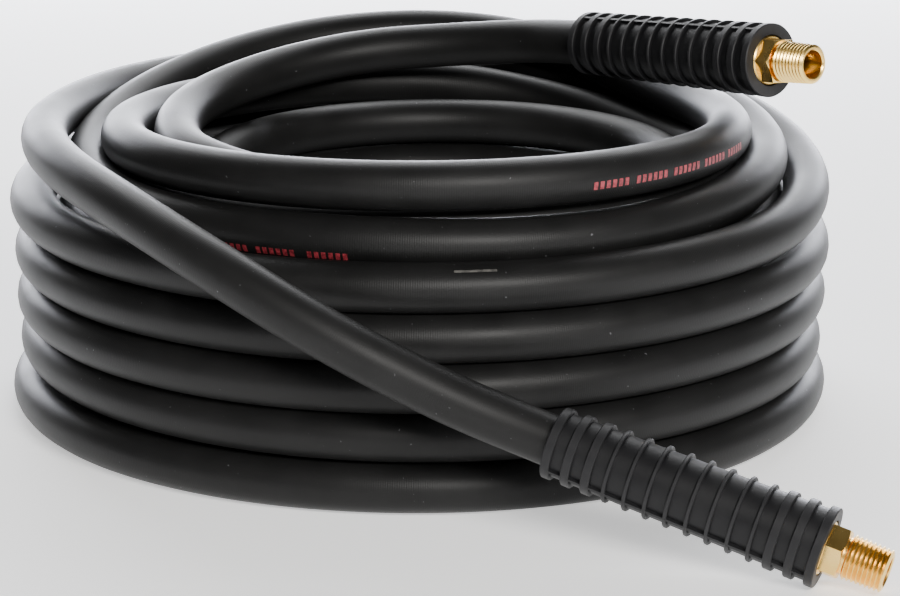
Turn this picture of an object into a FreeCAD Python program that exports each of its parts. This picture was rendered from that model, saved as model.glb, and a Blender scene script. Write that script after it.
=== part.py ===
"""A coiled rubber air hose: about 15 m of hose in a round bundle that lies on its side face, with a
crimped brass pipe fitting and a ribbed bend restrictor on each end.

Millimetres, +Z up. The bundle stands on Z = 0. The origin is the middle of the whole object's footprint,
and the bundle's own axis is a little behind it, because the lower end reaches out in front (-Y).
Each end is built along its own Z axis: 0 is the open mouth of the restrictor, where the hose goes in,
and the pipe thread points to +Z. A placement then stands the whole end where the hose leads it.
"""

import FreeCAD, Part
import math
import os
import Sketcher
from FreeCAD import Placement, Rotation, Vector

doc = FreeCAD.newDocument("CoiledAirHose")

# Driving dimensions: alias, value in millimetres, what it is.
SIZES = [
    ("HoseDia", 16.0, "outside diameter of the hose"),
    ("HoseBore", 9.5, "inside diameter of the hose, 3/8 in"),
    ("CoverWall", 1.5, "thickness of the rubber cover"),
    ("BraidWall", 0.6, "thickness of the yarn braid"),
    ("CrimpDepth", 0.8, "how far the crimp squeezes the hose, on the radius"),
    ("OuterTurn", 134.0, "radius of the outermost turns, at the middle of the hose"),
    ("TurnStep", 15.7, "radius from one column of turns to the next"),
    ("CoilHole", 78.0, "radius of the hole through the bundle"),
    ("OuterTop", 82.0, "top of the outermost column"),
    ("SecondTop", 98.0, "top of the second column"),
    ("ThirdTop", 105.0, "top of the third column"),
    ("InnerTop", 98.0, "top of the innermost column"),
    ("CoilBack", 36.3, "how far the bundle's axis is behind the origin"),
    ("RestrictorLen", 88.0, "length of the bend restrictor"),
    ("MouthRadius", 10.0, "body radius of the restrictor at its mouth"),
    ("FaceRadius", 11.4, "body radius of the restrictor at its face"),
    ("RingProud", 1.2, "how far the rings stand out of the restrictor"),
    ("RingEdge", 0.3, "bevel on the edges of the rings"),
    ("WideRing", 2.9, "width of a wide ring"),
    ("NarrowRing", 1.3, "width of a narrow ring"),
    ("RibWidth", 1.0, "width of the lengthwise ribs"),
    ("SleeveGap", 0.1, "clearance round the hose in the restrictor, on the radius"),
    ("FerruleGap", 0.3, "clearance round the ferrule in the restrictor, on the radius"),
    ("FerruleLen", 22.0, "length of the crimped ferrule"),
    ("FerruleWall", 1.3, "wall of the ferrule"),
    ("FerruleLip", 2.0, "thickness of the ferrule's end wall"),
    ("CutBack", 0.3, "gap from the hose's cut end to the ferrule's end wall"),
    ("StemRadius", 4.7, "radius of the fitting's stem between its barbs"),
    ("BarbProud", 0.4, "height of a barb"),
    ("BarbPitch", 5.5, "distance between barbs"),
    ("StemBore", 3.6, "radius of the air passage in the stem"),
    ("CollarRadius", 5.6, "radius of the collar inside the ferrule's end wall"),
    ("HexFlats", 14.29, "hexagon across its flats, 9/16 in"),
    ("HexLen", 5.5, "length of the hexagon"),
    ("NeckLen", 0.8, "length of the relief between hexagon and thread"),
    ("ThreadPitch", 1.411, "18 threads to the inch"),
    ("ThreadTip", 6.6, "radius of the thread's crest at its tip"),
    ("ThreadDepth", 0.85, "depth of the thread"),
    ("MouthBore", 4.7, "radius of the air passage at the fitting's mouth"),
    ("MouthDepth", 11.0, "depth of the wider mouth of the air passage"),
    ("StraightStart", 10.0, "where the layered straight end of the hose starts, from the mouth"),
]
sheet = doc.addObject("Spreadsheet::Sheet", "Sizes")
for row, (alias, value, meaning) in enumerate(SIZES, start=1):
    sheet.set(f"A{row}", alias)
    sheet.set(f"B{row}", str(value))
    sheet.set(f"C{row}", meaning)
    sheet.setAlias(f"B{row}", alias)
doc.recompute()

RING_COUNT = 14  # rings on a restrictor: three wide at each end and eight narrow between
WIDE_AT_END = 3
THREAD_TURNS = 9
RIBS = 2  # lengthwise, on opposite sides of each restrictor
BARBS = 3
THREAD_TAPER = "1 / 32"  # a pipe thread's radius grows by 1 in 32 along its length
END_NAMES = ("upper", "lower")


def value(expression):
    """The number that an expression of the sheet's aliases comes to."""
    number = sheet.evalExpression(expression)
    return float(getattr(number, "Value", number))


def sized(text):
    """An expression for another object, from one that names the sheet's aliases alone."""
    for alias in sorted((row[0] for row in SIZES), key=len, reverse=True):
        text = text.replace(alias, f"<<Sizes>>.{alias}")
    return text


def origin_feature(body, role):
    """One of a body's own planes or axes."""
    return next(f for f in body.Origin.OriginFeatures if f.Role == role)


def profile_sketch(body, name, points):
    """A closed outline in the body's XZ plane. Each point is two expressions: its radius and its height."""
    sketch = body.newObject("Sketcher::SketchObject", name)
    sketch.AttachmentSupport = [(origin_feature(body, "XZ_Plane"), "")]
    sketch.MapMode = "FlatFace"
    at = [Vector(value(radius), value(height), 0) for radius, height in points]
    for start, end in zip(at, at[1:] + at[:1]):
        sketch.addGeometry(Part.LineSegment(start, end), False)
    for side in range(len(at)):
        sketch.addConstraint(Sketcher.Constraint("Coincident", side, 2, (side + 1) % len(at), 1))
    for side, (radius, height) in enumerate(points):
        for kind, text, number in (("DistanceX", radius, at[side].x), ("DistanceY", height, at[side].y)):
            index = sketch.addConstraint(Sketcher.Constraint(kind, -1, 1, side, 1, number))
            sketch.setExpression(f"Constraints[{index}]", sized(text))
    return sketch


def turned_body(name, points):
    """A body of revolution about Z from an outline of (radius, height) expressions."""
    body = doc.addObject("PartDesign::Body", name)
    sketch = profile_sketch(body, f"{name}_outline", points)
    turned = body.newObject("PartDesign::Revolution", f"{name}_turned")
    turned.Profile = sketch
    turned.ReferenceAxis = (sketch, ["V_Axis"])
    turned.Angle = 360.0
    return body


# The end of the hose, in layers, as the ferrule squeezes it.

CUT = "RestrictorLen - FerruleLip - CutBack"
FERRULE_BACK = "RestrictorLen - FerruleLen"


def layer(name, outer, inner, squeeze_inner):
    """One layer of the hose: a tube that narrows where it enters the ferrule."""
    narrow_inner = f"{inner} - CrimpDepth * {squeeze_inner}"
    narrow_outer = f"{outer[0]} - CrimpDepth * {outer[1]}"
    return turned_body(name, [
        (inner, "StraightStart"),
        (outer[0], "StraightStart"),
        (outer[0], f"{FERRULE_BACK} - 2.5"),
        (narrow_outer, f"{FERRULE_BACK} - 0.5"),
        (narrow_outer, CUT),
        (narrow_inner, CUT),
        (narrow_inner, f"{FERRULE_BACK} - 0.5"),
        (inner, f"{FERRULE_BACK} - 2.5"),
    ])


def hose_cover(name):
    return layer(name, ("HoseDia / 2", 1.0), "HoseDia / 2 - CoverWall", 0.7)


def hose_braid(name):
    return layer(name, ("HoseDia / 2 - CoverWall", 0.7), "HoseDia / 2 - CoverWall - BraidWall", 0.6)


def hose_liner(name):
    return layer(name, ("HoseDia / 2 - CoverWall - BraidWall", 0.6), "HoseBore / 2", 0.0)


def ferrule(name):
    """A brass cup over the cut end of the hose. Its end wall holds the collar of the fitting."""
    inner = "HoseDia / 2 - CrimpDepth"
    outer = f"{inner} + FerruleWall"
    return turned_body(name, [
        (inner, FERRULE_BACK),
        (f"{outer} - 0.5", FERRULE_BACK),
        (outer, f"{FERRULE_BACK} + 0.5"),
        (outer, "RestrictorLen - 0.5"),
        (f"{outer} - 0.5", "RestrictorLen"),
        ("CollarRadius", "RestrictorLen"),
        ("CollarRadius", "RestrictorLen - FerruleLip"),
        (inner, "RestrictorLen - FerruleLip"),
    ])


def pipe_fitting(name):
    """The brass fitting: barbed stem, collar, hexagon and tapered pipe thread, with its air passage."""
    stem_end = "RestrictorLen - FerruleLen + 1"
    thread_start = "RestrictorLen + HexLen + NeckLen"
    tip = f"{thread_start} + ThreadPitch * {THREAD_TURNS}"
    outline = [("StemBore", stem_end), ("StemRadius - 0.3", stem_end)]
    for barb in range(BARBS):
        base = f"{stem_end} + BarbPitch * {barb} + 1"
        outline.append(("StemRadius", base))
        outline.append(("StemRadius + BarbProud", f"{base} + 2.5"))
        outline.append(("StemRadius", f"{base} + 2.7"))
    outline.append(("StemRadius", "RestrictorLen - FerruleLip"))
    outline.append(("CollarRadius", "RestrictorLen - FerruleLip"))
    outline.append(("CollarRadius", thread_start))
    for turn in range(THREAD_TURNS):
        low = f"{thread_start} + ThreadPitch * {turn}"
        crest = f"ThreadTip + ThreadPitch * {THREAD_TURNS - turn} * {THREAD_TAPER}"
        outline.append((f"{crest} - ThreadDepth", f"{low} + ThreadPitch * 0.06"))
        outline.append((crest, f"{low} + ThreadPitch * 0.47"))
        outline.append((crest, f"{low} + ThreadPitch * 0.59"))
    outline.append(("ThreadTip - ThreadDepth", tip))
    outline.append(("MouthBore + 0.4", tip))
    outline.append(("MouthBore", f"{tip} - 0.4"))
    outline.append(("MouthBore", f"{tip} - MouthDepth"))
    outline.append(("StemBore", f"{tip} - MouthDepth - 0.8"))
    body = turned_body(name, outline)
    add_hexagon(body, name)
    return body


def add_hexagon(body, name):
    """The wrench flats, as a hexagonal ring round the collar, with both its ends turned off."""
    sketch = body.newObject("Sketcher::SketchObject", f"{name}_flats")
    sketch.AttachmentSupport = [(origin_feature(body, "XY_Plane"), "")]
    sketch.MapMode = "FlatFace"
    sketch.AttachmentOffset = Placement(Vector(0, 0, value("RestrictorLen")), Rotation())
    sketch.setExpression(".AttachmentOffset.Base.z", sized("RestrictorLen"))
    corner = value("HexFlats / 2") / math.cos(math.radians(30))
    corners = [Vector(corner * math.cos(math.radians(a)), corner * math.sin(math.radians(a)), 0)
               for a in range(0, 360, 60)]
    for start, end in zip(corners, corners[1:] + corners[:1]):
        sketch.addGeometry(Part.LineSegment(start, end), False)
    sketch.addGeometry(Part.Circle(Vector(0, 0, 0), Vector(0, 0, 1), value("CollarRadius - 0.5")), False)
    pad = body.newObject("PartDesign::Pad", f"{name}_hexagon")
    pad.Profile = sketch
    pad.setExpression("Length", sized("HexLen"))
    chamfer_hexagon(body, name)


def chamfer_hexagon(body, name):
    """The cone that takes the hexagon's corners off beside the thread."""
    face = "RestrictorLen + HexLen"
    sketch = profile_sketch(body, f"{name}_corner_outline", [
        ("HexFlats / 2", f"{face} + 0.05"),
        ("HexFlats / 2 + 3", f"{face} + 0.05"),
        ("HexFlats / 2 + 3", f"{face} - 1.5"),
    ])
    groove = body.newObject("PartDesign::Groove", f"{name}_corners")
    groove.Profile = sketch
    groove.ReferenceAxis = (sketch, ["V_Axis"])
    groove.Angle = 360.0


def ring_outline():
    """The restrictor's outside from mouth to face: a slight cone with its rings."""
    slope = "(FaceRadius - MouthRadius) / RestrictorLen"
    outline = []
    for ring in range(RING_COUNT):
        wide = ring < WIDE_AT_END or ring >= RING_COUNT - WIDE_AT_END
        width = "WideRing" if wide else "NarrowRing"
        low = f"(RestrictorLen - {width}) * {ring} / {RING_COUNT - 1}"
        body_low = f"MouthRadius + {slope} * ({low})"
        body_high = f"MouthRadius + {slope} * ({low} + {width})"
        if ring > 0:
            outline.append((body_low, low))
        outline.append((f"{body_low} + RingProud - RingEdge", low))
        outline.append((f"{body_low} + RingProud", f"{low} + RingEdge"))
        outline.append((f"{body_high} + RingProud", f"{low} + {width} - RingEdge"))
        outline.append((f"{body_high} + RingProud - RingEdge", f"{low} + {width}"))
        if ring < RING_COUNT - 1:
            outline.append((body_high, f"{low} + {width}"))
    return outline


def bend_restrictor(name):
    """A ribbed rubber sleeve. Its bore fits the hose, and a wider one fits over the ferrule."""
    hose_bore = "HoseDia / 2 + SleeveGap"
    ferrule_bore = "HoseDia / 2 - CrimpDepth + FerruleWall + FerruleGap"
    step = "RestrictorLen - FerruleLen - 14"
    body = turned_body(name, [(hose_bore, "0")] + ring_outline() + [
        (ferrule_bore, "RestrictorLen"),
        (ferrule_bore, step),
        (hose_bore, f"{step} - 1"),
    ])
    add_ribs(body, name)
    return body


def add_ribs(body, name):
    """Lengthwise ribs, as high as the rings, from the first ring to the last."""
    sketch = profile_sketch(body, f"{name}_rib_outline", [
        ("MouthRadius - 0.6", "1"),
        ("MouthRadius + RingProud - 0.2", "1"),
        ("FaceRadius + RingProud - 0.2", "RestrictorLen - 1"),
        ("FaceRadius - 0.6", "RestrictorLen - 1"),
    ])
    rib = body.newObject("PartDesign::Pad", f"{name}_rib")
    rib.Profile = sketch
    rib.setExpression("Length", sized("RibWidth"))
    rib.Midplane = True
    around = body.newObject("PartDesign::PolarPattern", f"{name}_ribs")
    around.Originals = [rib]
    around.Axis = (origin_feature(body, "Z_Axis"), [""])
    around.Angle = 360.0
    around.Occurrences = RIBS
    body.Tip = around


# The bundle: one closed solid of its outer shape, a ring with a step for each column of turns.

def hose_coil(name):
    columns = [("OuterTurn", "OuterTop"), ("OuterTurn - TurnStep", "SecondTop"),
               ("OuterTurn - TurnStep * 2", "ThirdTop")]
    drums = [drum(f"{name}_column_{k}", f"{radius} + HoseDia / 2", top) for k, (radius, top) in enumerate(columns)]
    stack = doc.addObject("Part::MultiFuse", f"{name}_stack")
    stack.Shapes = drums
    stack.Refine = True
    recess = drum(f"{name}_recess", "OuterTurn - TurnStep * 2.5", "ThirdTop + 10")
    recess.setExpression("Placement.Base.z", sized("InnerTop"))
    hole = drum(f"{name}_hole", "CoilHole", "ThirdTop + 20")
    hole.Placement.Base = Vector(0, 0, -5)
    opening = doc.addObject("Part::Fuse", f"{name}_opening")
    opening.Base = recess
    opening.Tool = hole
    coil = doc.addObject("Part::Cut", name)
    coil.Base = stack
    coil.Tool = opening
    return coil


def drum(name, radius, height):
    cylinder = doc.addObject("Part::Cylinder", name)
    cylinder.setExpression("Radius", sized(radius))
    cylinder.setExpression("Height", sized(height))
    return cylinder


# Where each end of the hose lies, from the bundle's axis: the mouth of its restrictor and its direction.

def direction(heading, climb):
    """A unit direction: its heading anticlockwise from +X, and its climb, in degrees."""
    flat = math.cos(math.radians(climb))
    return Vector(flat * math.cos(math.radians(heading)), flat * math.sin(math.radians(heading)),
                  math.sin(math.radians(climb)))


MOUTH = {"upper": Vector(61, 37, 119.5), "lower": Vector(40.3, -171.3, 35.4)}
HEADING = {"upper": direction(-48.6, 3.8), "lower": direction(-21.2, -15.3)}
ROLL = {"upper": 156, "lower": 102}

# The hose's route from inside the bundle to each end. The last point is where its layered straight end
# starts, and is worked out. Every point is from the bundle's axis.
ROUTE = {
    "upper": [(-58, -88, 88), (-86, -59, 92.5), (-98, -21, 97.5), (-92, 18, 103), (-69, 51, 108.5), (-34, 71, 113),
              (6, 73, 116)],
    "lower": [(-22, 130, 72), (-86, 109, 83), (-130, 48, 91), (-135, -24, 91.5), (-112, -90, 91.5),
              (-78, -136, 88), (-34, -157, 66)],
}
LAST_RUN = {"upper": 38.0, "lower": 44.0}  # from the last bend's point to the layered straight end


def back():
    return Vector(0, value("CoilBack"), 0)


def end_placement(end):
    turn = Rotation(Vector(0, 0, 1), HEADING[end]).multiply(Rotation(Vector(0, 0, 1), ROLL[end]))
    return Placement(MOUTH[end] + back(), turn)


def route_points(end):
    finish = MOUTH[end] + HEADING[end] * value("StraightStart")
    bend = finish - HEADING[end] * LAST_RUN[end]
    return [Vector(*p) + back() for p in ROUTE[end]] + [bend + back(), finish + back()]


def rounded_path(points):
    """Straight runs joined by tangent arcs, each arc as large as its two runs allow."""
    edges = []
    radii = []
    at = points[0]
    for before, corner, after in zip(points, points[1:], points[2:]):
        come = (corner - before).normalize()
        leave = (after - corner).normalize()
        turn = come.getAngle(leave)
        reach = 0.45 * min((corner - before).Length, (after - corner).Length)
        radius = reach / math.tan(turn / 2)
        start = corner - come * reach
        end = corner + leave * reach
        bisector = (leave - come).normalize()
        middle = corner + bisector * (radius / math.cos(turn / 2) - radius)
        edges.append(Part.LineSegment(at, start).toShape())
        edges.append(Part.Arc(start, middle, end).toShape())
        radii.append(radius)
        at = end
    edges.append(Part.LineSegment(at, points[-1]).toShape())
    return Part.Wire(edges), radii


def hose_run(name, end):
    """The stretch of hose from the bundle to one end, as a plain round bar along its route."""
    points = route_points(end)
    wire, radii = rounded_path(points)
    print(name, "bend radii", [round(radius, 1) for radius in radii], "length", round(wire.Length, 1))
    path = doc.addObject("Part::Feature", f"{name}_path")
    path.Shape = wire
    section = doc.addObject("Part::Circle", f"{name}_section")
    section.setExpression("Radius", sized("HoseDia / 2"))
    section.Placement = Placement(points[0], Rotation(Vector(0, 0, 1), points[1] - points[0]))
    run = doc.addObject("Part::Sweep", name)
    run.Sections = [section]
    run.Spine = (path, [f"Edge{k + 1}" for k in range(len(wire.Edges))])
    run.Solid = True
    run.Frenet = False
    doc.recompute()
    expected = math.pi * value("HoseDia / 2") ** 2 * wire.Length
    if abs(run.Shape.Volume - expected) > 0.01 * expected:
        raise ValueError(f"{name}: volume {run.Shape.Volume:.0f}, and its section and length give {expected:.0f}")
    return run


def check(objects):
    """Stop before anything is written if a feature failed or a shape is no good."""
    for item in doc.Objects:
        if {"Invalid", "Error"} & set(item.State):
            raise ValueError(f"{item.Name} is {item.State}")
    for item in objects:
        shape = item.Shape
        if shape.isNull() or not shape.isValid() or len(shape.Solids) != 1:
            raise ValueError(f"{item.Label} is not one valid solid")


parts = []
coil = hose_coil("hose_coil")
coil.setExpression("Placement.Base.y", sized("CoilBack"))
parts.append(coil)
END_PIECES = (hose_cover, hose_braid, hose_liner, ferrule, pipe_fitting, bend_restrictor)
for end in END_NAMES:
    for make in END_PIECES:
        piece = make(f"{end}_{make.__name__}")
        piece.Placement = end_placement(end)
        parts.append(piece)
    parts.append(hose_run(f"{end}_hose_run", end))
doc.recompute()
check(parts)

os.makedirs("parts", exist_ok=True)
box = FreeCAD.BoundBox()
for piece in parts:
    piece.Shape.exportStep(f"parts/{piece.Label}.step")
    box.add(piece.Shape.BoundBox)
    print(f"{piece.Label}: {piece.Shape.Volume:.0f} mm3")
print("whole object", box)
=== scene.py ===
import math
from collections import namedtuple

import bpy
import numpy as np
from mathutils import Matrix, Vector


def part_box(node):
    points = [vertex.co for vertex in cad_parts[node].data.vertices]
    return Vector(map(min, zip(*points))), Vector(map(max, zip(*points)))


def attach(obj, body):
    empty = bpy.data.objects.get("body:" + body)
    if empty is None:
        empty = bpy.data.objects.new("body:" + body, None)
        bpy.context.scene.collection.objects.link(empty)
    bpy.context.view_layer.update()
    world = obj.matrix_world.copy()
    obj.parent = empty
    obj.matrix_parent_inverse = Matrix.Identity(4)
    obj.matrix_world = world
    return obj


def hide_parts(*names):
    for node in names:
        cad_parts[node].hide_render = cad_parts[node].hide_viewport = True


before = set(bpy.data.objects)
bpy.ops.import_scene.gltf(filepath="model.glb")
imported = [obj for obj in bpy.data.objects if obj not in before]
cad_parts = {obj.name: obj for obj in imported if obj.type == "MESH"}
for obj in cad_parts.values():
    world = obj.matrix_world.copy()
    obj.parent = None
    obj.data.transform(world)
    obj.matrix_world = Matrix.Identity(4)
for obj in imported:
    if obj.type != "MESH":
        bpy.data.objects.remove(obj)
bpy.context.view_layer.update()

# Metres, +Z up, in the CAD model's frame. The bundle of turns stands on Z = 0 round the axis AXIS.
COIL_LOW, COIL_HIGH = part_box("hose_coil")
AXIS = Vector(((COIL_LOW.x + COIL_HIGH.x) / 2, (COIL_LOW.y + COIL_HIGH.y) / 2, 0))
HOSE = 0.016  # diameter
ENDS = ("upper", "lower")
END_PARTS = ("hose_cover", "hose_braid", "hose_liner", "ferrule", "pipe_fitting", "bend_restrictor")


def direction(heading, climb):
    """A unit direction: its heading anticlockwise from +X, and its climb, in degrees."""
    flat = math.cos(math.radians(climb))
    return Vector((flat * math.cos(math.radians(heading)), flat * math.sin(math.radians(heading)),
                   math.sin(math.radians(climb))))


# Where the hose goes into each bend restrictor, from AXIS, and which way it points there, as in part.py.
MOUTH = {"upper": Vector((0.061, 0.037, 0.1195)), "lower": Vector((0.0403, -0.1713, 0.0354))}
HEADING = {"upper": direction(-48.6, 3.8), "lower": direction(-21.2, -15.3)}
STRAIGHT_START = 0.010  # how far inside the mouth the CAD's layered end takes over
BEND_START = 0.006  # how far behind the mouth the next point of the hose's line is


# The hose's route.

STEPS = 16  # points in each turn
LOOSENESS = 0.0006  # how far a turn strays in and out
TOUCHING = HOSE * 1.01  # the least distance between two turns' middles that the settling aims for
SETTLING_ROUNDS = 200
PUSH = 0.35  # share of an overlap that one round undoes
SHARE_WITH_NEIGHBOUR = 0.08  # of a point's shift, to each side along the hose
SEAM = 40  # azimuth in degrees at which one turn usually starts to pass to the next, at the back right
PASSING = 115  # degrees that the hose usually takes to pass from one turn's place to the next turn's

# One wrap of the hose: its radius and height, how far its centre is to the right of and behind AXIS,
# how much higher it is for each metre behind its centre and for each metre to the left of it, how deep it
# dips at its left, and where and over how many degrees the hose passes to it from the turn before.
Turn = namedtuple("Turn", "radius height right back tilt left_tilt left_dip seam passing",
                  defaults=(0.0, 0.0, 0.0, 0.0, 0.0, SEAM, PASSING))


def turns():
    """Every turn of the bundle, in the order that the hose takes them from the upper end."""
    loose_end = Turn(0.0875, 0.0970, 0.004, -0.014)
    inner = [Turn(0.0787, height, 0.008, -0.005, seam=195)
             for height in (0.0848, 0.0665, 0.047, 0.0275, 0.008)]
    third = [Turn(0.1012, height, tilt=tilt, seam=-60, passing=100)
             for height, tilt in zip(np.linspace(0.008, 0.0780, 5), np.linspace(0, -0.050, 5))]
    top_third = Turn(0.1034, 0.0955, 0.0015, -0.0106, tilt=-0.038, seam=25, passing=75)
    top_second = Turn(0.1208, 0.0920, 0.0038, 0.0008, 0.096, 0.022, 0.013, seam=30, passing=50)
    second = [Turn(0.1178, height, 0.0022, tilt=tilt, seam=30, passing=70)
              for height, tilt in ((0.0774, 0.098), (0.0600, 0.079), (0.0340, 0.038), (0.008, 0))]
    outer = [Turn(0.134, height) for height in np.linspace(0.008, 0.0573, 4)]
    outer.append(Turn(0.1344, 0.0754, -0.0011, tilt=0.014, seam=-12, passing=85))
    last = Turn(0.1295, 0.0967, 0.0015, seam=-35, passing=105)
    return [loose_end] + inner + third + [top_third, top_second] + second + outer + [last]


def place(turn, azimuth):
    """A point of a turn, from AXIS."""
    across = Vector((math.cos(azimuth), math.sin(azimuth), 0)) * turn.radius
    lift = turn.tilt * across.y - turn.left_tilt * across.x
    dip = turn.left_dip * max(-math.cos(azimuth), 0) ** 2
    return across + Vector((turn.right, turn.back, turn.height + lift - dip))


def eased(share):
    share = min(max(share, 0.0), 1.0)
    return share * share * (3 - 2 * share)


def wound_points():
    """The points of the bundle's turns: a grid of turns by steps, each loose by a millimetre or so."""
    loose = np.random.default_rng(11)
    layout = turns()
    grid = np.zeros((len(layout) - 1, STEPS, 3))
    for row in range(len(grid)):
        wave = loose.uniform(0, 2 * math.pi)
        slack = loose.uniform(-LOOSENESS, LOOSENESS)
        for step in range(STEPS):
            degrees = SEAM + 360 * (row + step / STEPS)
            azimuth = math.radians(degrees)
            point = place(layout[0], azimuth)
            for k in range(1, len(layout)):
                passed = eased((degrees - 360 * (k - 1) - layout[k].seam) / layout[k].passing)
                point += (place(layout[k], azimuth) - place(layout[k - 1], azimuth)) * passed
            outward = Vector((math.cos(azimuth), math.sin(azimuth), 0))
            grid[row, step] = point + outward * (slack + LOOSENESS * math.cos(2 * azimuth + wave))
    return grid


def smoothed(shift):
    """Shifts of the points, each drawn a little towards its two neighbours along the hose."""
    flat = shift.reshape(-1, 3)
    padded = np.concatenate([flat[:1], flat, flat[-1:]])
    neighbours = padded[:-2] + padded[2:]
    return (SHARE_WITH_NEIGHBOUR * neighbours + (1 - 2 * SHARE_WITH_NEIGHBOUR) * flat).reshape(shift.shape)


def settle(start, gap):
    """Turns that lie in each other are pushed nearly clear, and none sinks into the floor."""
    shift = np.zeros_like(start)
    for _ in range(SETTLING_ROUNDS):
        grid = start + shift
        away = grid[:, None] - grid[None]
        distance = np.linalg.norm(away, axis=3) + np.eye(len(grid))[..., None]
        overlap = np.clip(gap - distance, 0, None) * (1 - np.eye(len(grid)))[..., None]
        shift += (away / distance[..., None] * overlap[..., None]).sum(axis=1) * PUSH
        shift = smoothed(shift)
        shift[..., 2] = np.maximum(shift[..., 2], gap / 2 - start[..., 2])
    return start + shift


def bundle_points():
    """The settled turns as one list, from the left of the first turn to the left of the last."""
    grid = settle(wound_points(), TOUCHING)
    # A quadratic spline runs inside its points by this share of the radius.
    grid[:, :, :2] /= math.cos(math.pi / STEPS)
    first = round((FIRST_AZIMUTH - SEAM) / 360 * STEPS)
    last = round((LAST_AZIMUTH - SEAM) / 360 * STEPS)
    flat = grid.reshape(-1, 3)
    return [Vector(p) for p in flat[first:len(flat) - STEPS + last + 1]]


# Given, from AXIS: the loose inner turn that leads to the upper end, and the outer turn that
# crosses the front of the bundle to the lower end.
UPPER_ROUTE = [(0.0405, 0.0580, 0.1166), (0.0125, 0.0690, 0.1133), (-0.0200, 0.0690, 0.1111),
               (-0.0505, 0.0550, 0.1072), (-0.0735, 0.0310, 0.1030), (-0.0848, -0.0010, 0.1002)]
LOWER_ROUTE = [(-0.1295, -0.0240, 0.0974), (-0.1180, -0.0670, 0.0974), (-0.0960, -0.1080, 0.0945),
               (-0.0660, -0.1430, 0.0850), (-0.0310, -0.1600, 0.0670), (0.0060, -0.1640, 0.0480)]
FIRST_AZIMUTH = 197.5  # where the bundle's own points begin
LAST_AZIMUTH = 175  # and where they end


def end_points(end):
    """The last two points at an end: inside the restrictor, and just behind its mouth."""
    return [MOUTH[end] + HEADING[end] * STRAIGHT_START, MOUTH[end] - HEADING[end] * BEND_START]


def route():
    upper = end_points("upper") + [Vector(p) for p in UPPER_ROUTE]
    lower = [Vector(p) for p in LOWER_ROUTE] + end_points("lower")[::-1]
    return [point + AXIS for point in upper + bundle_points() + lower]


def spline_line(points):
    """The smooth line of a hose with these control points, as evenly detailed points read from the spline."""
    data = bpy.data.curves.new("hose_line", "CURVE")
    data.dimensions = "3D"
    data.resolution_u = 12
    spline = data.splines.new("NURBS")
    spline.points.add(len(points) - 1)
    for knot, point in zip(spline.points, points):
        knot.co = (*point, 1)
    spline.order_u = 3
    spline.use_endpoint_u = True
    curve = bpy.data.objects.new("hose_line", data)
    bpy.context.scene.collection.objects.link(curve)
    bpy.context.view_layer.update()
    mesh = bpy.data.meshes.new_from_object(curve.evaluated_get(bpy.context.evaluated_depsgraph_get()))
    line = np.array([v.co for v in mesh.vertices])
    bpy.data.objects.remove(curve)
    bpy.data.curves.remove(data)
    bpy.data.meshes.remove(mesh)
    return line


def frames(line):
    """Along a line: its tangents, and the side and top directions of a hose that never twists over."""
    tangent = np.gradient(line, axis=0)
    tangent /= np.linalg.norm(tangent, axis=1)[:, None]
    side = np.cross(tangent, (0, 0, 1))
    side /= np.linalg.norm(side, axis=1)[:, None]
    return tangent, side, np.cross(side, tangent)


def distances(line):
    return np.concatenate([[0], np.cumsum(np.linalg.norm(np.diff(line, axis=0), axis=1))])


def link(name, mesh):
    piece = bpy.data.objects.new(name, mesh)
    bpy.context.scene.collection.objects.link(piece)
    return piece


AROUND = 24  # sides of the hose
PATCH = 5  # points along and across each patch of ink
INK = 0.00005  # how far it stands off the rubber
TICK = 0.0014  # length of a bar
TICK_PITCH = 0.0022
TICKS_IN_GROUP = 6
GROUP_PITCH = 0.0155


def tube(name, line, radius):
    """A closed round tube along a line. Its UV is the share of the way round, and metres along."""
    _, side, top = frames(line)
    along = distances(line)
    turn = np.arange(AROUND) * 2 * math.pi / AROUND
    ring = side[:, None] * np.cos(turn)[:, None] + top[:, None] * np.sin(turn)[:, None]
    points = (line[:, None] + ring * radius).reshape(-1, 3)
    faces = []
    for k in range(len(line) - 1):
        for j in range(AROUND):
            n = (j + 1) % AROUND
            faces.append((k * AROUND + j, k * AROUND + n, (k + 1) * AROUND + n, (k + 1) * AROUND + j))
    sides = len(faces)
    faces.append(tuple(range(AROUND))[::-1])
    faces.append(tuple((len(line) - 1) * AROUND + j for j in range(AROUND)))
    mesh = bpy.data.meshes.new(name)
    mesh.from_pydata(points.tolist(), [], faces)
    uv = mesh.uv_layers.new(name="Hose")
    values = np.zeros((len(mesh.loops), 2))
    corner = np.arange(sides * 4)
    k, j = corner // 4 // AROUND, corner // 4 % AROUND
    values[:sides * 4, 0] = (j + np.isin(corner % 4, (1, 2))) / AROUND
    values[:sides * 4, 1] = along[k + np.isin(corner % 4, (2, 3))]
    uv.data.foreach_set("uv", values.ravel())
    mesh.polygons.foreach_set("use_smooth", [True] * sides + [False] * 2)
    mesh.update()
    return link(name, mesh)


def read_at(s, along, values):
    """The value at s metres along the line, between the values at its points."""
    return np.array([np.interp(s, along, values[:, axis]) for axis in range(3)])


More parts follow.
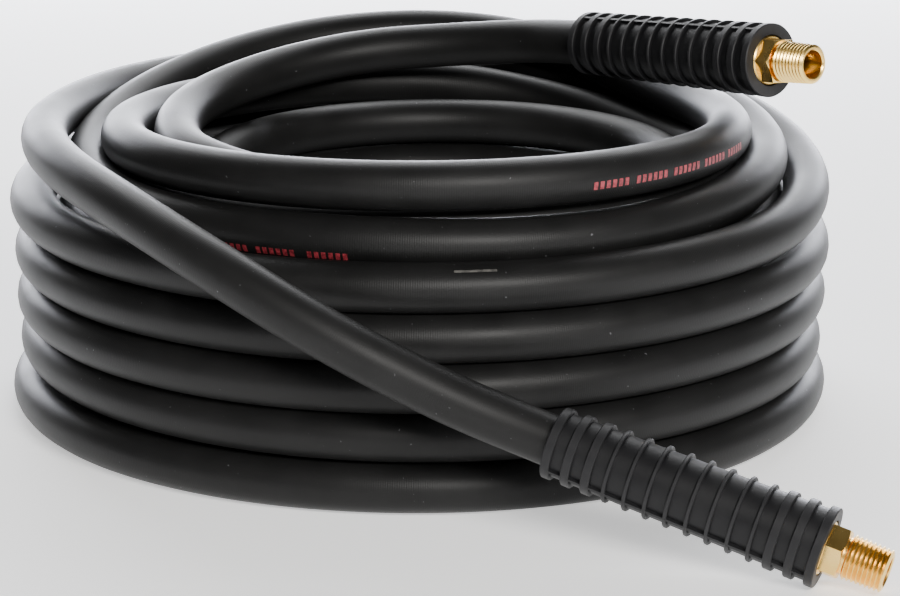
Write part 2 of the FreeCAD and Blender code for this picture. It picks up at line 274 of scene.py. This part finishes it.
def printed(name, line, bars, angles, width):
    """Thin curved patches of ink on the hose, as one piece. Each bar is its start and end in metres along the
    hose, width is in metres round it, and angles are where the first and the last bar lie, up from level."""
    _, side, top = frames(line)
    along = distances(line)
    points = []
    faces = []
    for bar, (start, end) in enumerate(bars):
        middle = math.radians(angles[0] + (angles[1] - angles[0]) * bar / max(len(bars) - 1, 1))
        for s in np.linspace(start, end, PATCH):
            centre = read_at(s, along, line)
            outward = read_at(s, along, side)
            upward = read_at(s, along, top)
            for turn in np.linspace(middle - width / HOSE, middle + width / HOSE, PATCH):
                ray = outward * math.cos(turn) + upward * math.sin(turn)
                points.append((centre + ray * (HOSE / 2 + INK)).tolist())
        first = PATCH * PATCH * bar
        faces += [(k, k + 1, k + 1 + PATCH, k + PATCH)
                  for k in (first + PATCH * i + j for i in range(PATCH - 1) for j in range(PATCH - 1))]
    mesh = bpy.data.meshes.new(name)
    mesh.from_pydata(points, [], faces)
    mesh.polygons.foreach_set("use_smooth", [True] * len(faces))
    return link(name, mesh)


def ticks(start, groups):
    """A row of plain short bars along the hose, in groups."""
    starts = [start + GROUP_PITCH * group + TICK_PITCH * k
              for group in range(groups) for k in range(TICKS_IN_GROUP)]
    return [(at, at + TICK) for at in starts]


# Materials.

def new_material(name):
    material = bpy.data.materials.new(name)
    material.use_nodes = True
    nodes = material.node_tree.nodes
    return material, nodes, material.node_tree.links, nodes["Principled BSDF"]


def add(nodes, kind, **settings):
    node = nodes.new(kind)
    for key, setting in settings.items():
        if key in node.inputs:
            node.inputs[key].default_value = setting
        else:
            setattr(node, key, setting)
    return node


def noise(nodes, links, vector, scale, detail=3.0):
    node = add(nodes, "ShaderNodeTexNoise", Scale=scale, Detail=detail)
    links.new(vector, node.inputs["Vector"])
    return node.outputs["Fac"]


def ramp(nodes, links, factor, stops):
    """A colour ramp from (place, grey or colour) stops."""
    node = nodes.new("ShaderNodeValToRGB")
    elements = node.color_ramp.elements
    while len(elements) < len(stops):
        elements.new(0.5)
    for element, (at, colour) in zip(elements, stops):
        element.position = at
        element.color = (colour, colour, colour, 1) if isinstance(colour, float) else (*colour, 1)
    links.new(factor, node.inputs["Fac"])
    return node.outputs["Color"]


def bump(nodes, links, height, strength, distance, normal=None):
    node = add(nodes, "ShaderNodeBump", Strength=strength, Distance=distance)
    links.new(height, node.inputs["Height"])
    if normal:
        links.new(normal, node.inputs["Normal"])
    return node.outputs["Normal"]


RIB_PITCH = 0.0007  # of the cloth's marks on the hose


def hose_rubber():
    """Charcoal rubber cured in a wound cloth: fine cross-wise ribs, a soft uneven sheen and dust specks."""
    material, nodes, links, shader = new_material("hose_rubber")
    uv = add(nodes, "ShaderNodeUVMap", uv_map="Hose").outputs["UV"]
    place_at = add(nodes, "ShaderNodeTexCoord").outputs["Object"]
    parts = nodes.new("ShaderNodeSeparateXYZ")
    links.new(uv, parts.inputs["Vector"])
    ribs = add(nodes, "ShaderNodeMath", operation="MULTIPLY")
    ribs.inputs[1].default_value = 2 * math.pi / RIB_PITCH
    links.new(parts.outputs["Y"], ribs.inputs[0])
    wave = add(nodes, "ShaderNodeMath", operation="SINE")
    links.new(ribs.outputs[0], wave.inputs[0])
    cloudy = noise(nodes, links, place_at, 55.0)
    fine = noise(nodes, links, place_at, 1400.0)
    specks = noise(nodes, links, place_at, 700.0, 1.0)
    dust = ramp(nodes, links, specks, [(0.0, 0.0), (0.775, 0.0), (0.82, 0.6)])
    base = ramp(nodes, links, cloudy, [(0.3, (0.009, 0.009, 0.009)), (0.7, (0.013, 0.013, 0.013))])
    mix = add(nodes, "ShaderNodeMix", data_type="RGBA")
    mix.inputs["B"].default_value = (0.16, 0.16, 0.17, 1)
    links.new(dust, mix.inputs["Factor"])
    links.new(base, mix.inputs["A"])
    links.new(mix.outputs["Result"], shader.inputs["Base Color"])
    rough = ramp(nodes, links, cloudy, [(0.25, 0.43), (0.75, 0.50)])
    links.new(rough, shader.inputs["Roughness"])
    ribbed = bump(nodes, links, wave.outputs[0], 0.22, 0.00004)
    links.new(bump(nodes, links, fine, 0.25, 0.00012, ribbed), shader.inputs["Normal"])
    shader.inputs["Specular IOR Level"].default_value = 0.22
    return material


def moulded_rubber():
    """The restrictors' matte black rubber, with a painted highlight: a little greyer on its raised edges."""
    material, nodes, links, shader = new_material("restrictor_rubber")
    place_at = add(nodes, "ShaderNodeTexCoord").outputs["Object"]
    grain = noise(nodes, links, place_at, 900.0)
    cloudy = noise(nodes, links, place_at, 70.0)
    # Painted highlight: the raised, pointy edges are mixed towards a lighter grey, as if they catch the
    # light.
    edge_highlight_mask = ramp(nodes, links, add(nodes, "ShaderNodeNewGeometry").outputs["Pointiness"],
                [(0.51, 0.0), (0.60, 1.0)])
    base = ramp(nodes, links, cloudy, [(0.3, (0.006, 0.006, 0.007)), (0.7, (0.009, 0.009, 0.010))])
    mix = add(nodes, "ShaderNodeMix", data_type="RGBA")
    # The lighter grey of the painted edge highlight.
    mix.inputs["B"].default_value = (0.024, 0.024, 0.026, 1)
    links.new(edge_highlight_mask, mix.inputs["Factor"])
    links.new(base, mix.inputs["A"])
    links.new(mix.outputs["Result"], shader.inputs["Base Color"])
    links.new(ramp(nodes, links, cloudy, [(0.2, 0.46), (0.8, 0.58)]), shader.inputs["Roughness"])
    links.new(bump(nodes, links, grain, 0.3, 0.0001), shader.inputs["Normal"])
    shader.inputs["Specular IOR Level"].default_value = 0.28
    return material


def brass():
    """Bright machined brass with fine turning marks and a slightly deeper tone in places."""
    material, nodes, links, shader = new_material("brass")
    place_at = add(nodes, "ShaderNodeTexCoord").outputs["Object"]
    tone = noise(nodes, links, place_at, 120.0)
    marks = noise(nodes, links, place_at, 2600.0)
    base = ramp(nodes, links, tone, [(0.3, (0.94, 0.61, 0.17)), (0.7, (0.99, 0.69, 0.23))])
    links.new(base, shader.inputs["Base Color"])
    links.new(ramp(nodes, links, tone, [(0.2, 0.20), (0.8, 0.32)]), shader.inputs["Roughness"])
    links.new(bump(nodes, links, marks, 0.12, 0.00003), shader.inputs["Normal"])
    shader.inputs["Metallic"].default_value = 1.0
    return material


def plain_rubber():
    """The smooth black rubber of the hose's inner tube, and of its cover inside the restrictors."""
    material, nodes, links, shader = new_material("liner_rubber")
    place_at = add(nodes, "ShaderNodeTexCoord").outputs["Object"]
    base = ramp(nodes, links, noise(nodes, links, place_at, 200.0), [(0.3, 0.010), (0.7, 0.018)])
    links.new(base, shader.inputs["Base Color"])
    shader.inputs["Roughness"].default_value = 0.45
    return material


def yarn():
    """The off-white braid between liner and cover: a fine diagonal weave."""
    material, nodes, links, shader = new_material("braid_yarn")
    place_at = add(nodes, "ShaderNodeTexCoord").outputs["Object"]
    weave = add(nodes, "ShaderNodeTexWave", Scale=260.0, Distortion=1.0, bands_direction="DIAGONAL")
    links.new(place_at, weave.inputs["Vector"])
    base = ramp(nodes, links, weave.outputs["Fac"], [(0.2, (0.45, 0.43, 0.38)), (0.7, (0.72, 0.70, 0.63))])
    links.new(base, shader.inputs["Base Color"])
    links.new(bump(nodes, links, weave.outputs["Fac"], 0.5, 0.0003), shader.inputs["Normal"])
    shader.inputs["Roughness"].default_value = 0.85
    return material


def red_ink():
    """Red marking ink, thin and a little worn."""
    material, nodes, links, shader = new_material("red_ink")
    place_at = add(nodes, "ShaderNodeTexCoord").outputs["Object"]
    worn = noise(nodes, links, place_at, 800.0)
    base = ramp(nodes, links, worn, [(0.35, (0.16, 0.015, 0.022)), (0.6, (0.38, 0.045, 0.06))])
    links.new(base, shader.inputs["Base Color"])
    shader.inputs["Roughness"].default_value = 0.45
    return material


def pale_ink():
    """A pale scuff, nearly rubbed out."""
    material, nodes, links, shader = new_material("pale_ink")
    place_at = add(nodes, "ShaderNodeTexCoord").outputs["Object"]
    worn = noise(nodes, links, place_at, 500.0)
    base = ramp(nodes, links, worn, [(0.35, (0.05, 0.048, 0.045)), (0.65, (0.13, 0.125, 0.115))])
    links.new(base, shader.inputs["Base Color"])
    shader.inputs["Roughness"].default_value = 0.5
    return material


def dress(piece, material):
    piece.data.materials.clear()
    piece.data.materials.append(material)


# The stage.

CAMERA = Vector((0, -1.0537, 0.3169))  # from AXIS
CAMERA_DOWN = 15.0  # degrees
CAMERA_RIGHT = 0.574  # degrees
LENS = 122.9  # mm, on a film 36 mm wide
WORLD_LIGHT = 0.08
SWEEP_GLOW = 0.7  # the backdrop glows a little, so that it stays pale near the object


def make_camera():
    """A long lens a metre in front of the bundle, looking down at it."""
    data = bpy.data.cameras.new("camera")
    data.sensor_width = 36
    data.lens = LENS
    camera = bpy.data.objects.new("camera", data)
    camera.location = AXIS + CAMERA
    camera.rotation_euler = (math.radians(90 - CAMERA_DOWN), 0, math.radians(-CAMERA_RIGHT))
    bpy.context.scene.collection.objects.link(camera)
    bpy.context.scene.camera = camera


def area_light(name, place_at, target, size, power, colour=(1, 1, 1)):
    data = bpy.data.lights.new(name, "AREA")
    data.shape = "RECTANGLE"
    data.size, data.size_y = size
    data.energy = power
    data.color = colour
    light = bpy.data.objects.new(name, data)
    light.location = AXIS + Vector(place_at)
    light.rotation_euler = (Vector(target) - Vector(place_at)).to_track_quat("-Z", "Y").to_euler()
    bpy.context.scene.collection.objects.link(light)


def make_lights():
    """A broad low box behind for the bright rims, a dimmer one above it, and a small one in front."""
    area_light("back_box", (0.0, 1.5, 0.34), (0, 0, 0.08), (2.2, 0.5), 70, (0.89, 0.91, 1.0))
    area_light("top_box", (0.0, 1.3, 1.30), (0, 0.3, 0.0), (1.8, 0.8), 30, (0.97, 0.98, 1.0))
    area_light("front_box", (0.40, -1.25, 0.70), (0.03, 0, 0.04), (0.7, 0.25), 22, (1.0, 0.98, 0.95))
    world = bpy.data.worlds.new("studio")
    world.use_nodes = True
    world.node_tree.nodes["Background"].inputs["Color"].default_value = (1, 1, 1, 1)
    world.node_tree.nodes["Background"].inputs["Strength"].default_value = WORLD_LIGHT
    bpy.context.scene.world = world


def make_floor():
    """A pale sweep: a floor that curves up into a wall behind."""
    mesh = bpy.data.meshes.new("sweep")
    wide = 4.0
    front = -3.0
    back = 2.2
    bend = 0.8
    height = 4.0
    outline = [(front, 0.0)]
    outline += [(back + bend * math.sin(a), bend * (1 - math.cos(a)))
                for a in np.linspace(0, math.pi / 2, 12)]
    outline.append((back + bend, height))
    points = [(x, y, z) for y, z in outline for x in (-wide, wide)]
    faces = [(2 * k, 2 * k + 1, 2 * k + 3, 2 * k + 2) for k in range(len(outline) - 1)]
    mesh.from_pydata(points, [], faces)
    mesh.polygons.foreach_set("use_smooth", [True] * len(faces))
    sweep = link("sweep", mesh)
    material, nodes, links, shader = new_material("sweep_paper")
    place_at = add(nodes, "ShaderNodeTexCoord").outputs["Object"]
    base = ramp(nodes, links, noise(nodes, links, place_at, 3.0), [(0.3, 0.93), (0.7, 0.96)])
    links.new(base, shader.inputs["Base Color"])
    shader.inputs["Roughness"].default_value = 0.9
    shader.inputs["Emission Color"].default_value = (1, 1, 1, 1)
    shader.inputs["Emission Strength"].default_value = SWEEP_GLOW
    dress(sweep, material)


def make_hose(line):
    hose = tube("hose", line, HOSE / 2)
    dress(hose, hose_rubber())
    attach(hose, "hose")
    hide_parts("hose_coil", "upper_hose_run", "lower_hose_run")
    return hose


# Where the ink is: metres along the hose from the upper end, degrees up from level, and width in metres.
UPPER_PRINT = 6.165
UPPER_PRINT_ANGLES = (-9, 2)
MIDDLE_PRINT = 6.764
MIDDLE_PRINT_LAST = 6.796  # its last group, after a wider gap
MIDDLE_PRINT_ANGLES = (-26, -26)
PRINT_WIDTH = 0.0026
SCUFF = (13.986, 13.999)
SCUFF_ANGLES = (53, 53)
SCUFF_WIDTH = 0.0009


def make_marks(line):
    """Plain red bars in two places, and a pale scuff."""
    red = red_ink()
    middle = ticks(MIDDLE_PRINT, 2) + ticks(MIDDLE_PRINT_LAST, 1)
    marks = [(printed("upper_print", line, ticks(UPPER_PRINT, 5), UPPER_PRINT_ANGLES, PRINT_WIDTH), red),
             (printed("middle_print", line, middle, MIDDLE_PRINT_ANGLES, PRINT_WIDTH), red),
             (printed("scuff", line, [SCUFF], SCUFF_ANGLES, SCUFF_WIDTH), pale_ink())]
    for mark, ink in marks:
        dress(mark, ink)
        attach(mark, "hose")


def dress_ends():
    finish = {"hose_cover": plain_rubber(), "hose_braid": yarn(), "hose_liner": plain_rubber(),
              "ferrule": brass(), "pipe_fitting": brass(), "bend_restrictor": moulded_rubber()}
    for end in ENDS:
        for part in END_PARTS:
            dress(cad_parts[f"{end}_{part}"], finish[part])


make_camera()

line = spline_line(route())
hose = make_hose(line)
make_marks(line)

dress_ends()
make_lights()
make_floor()
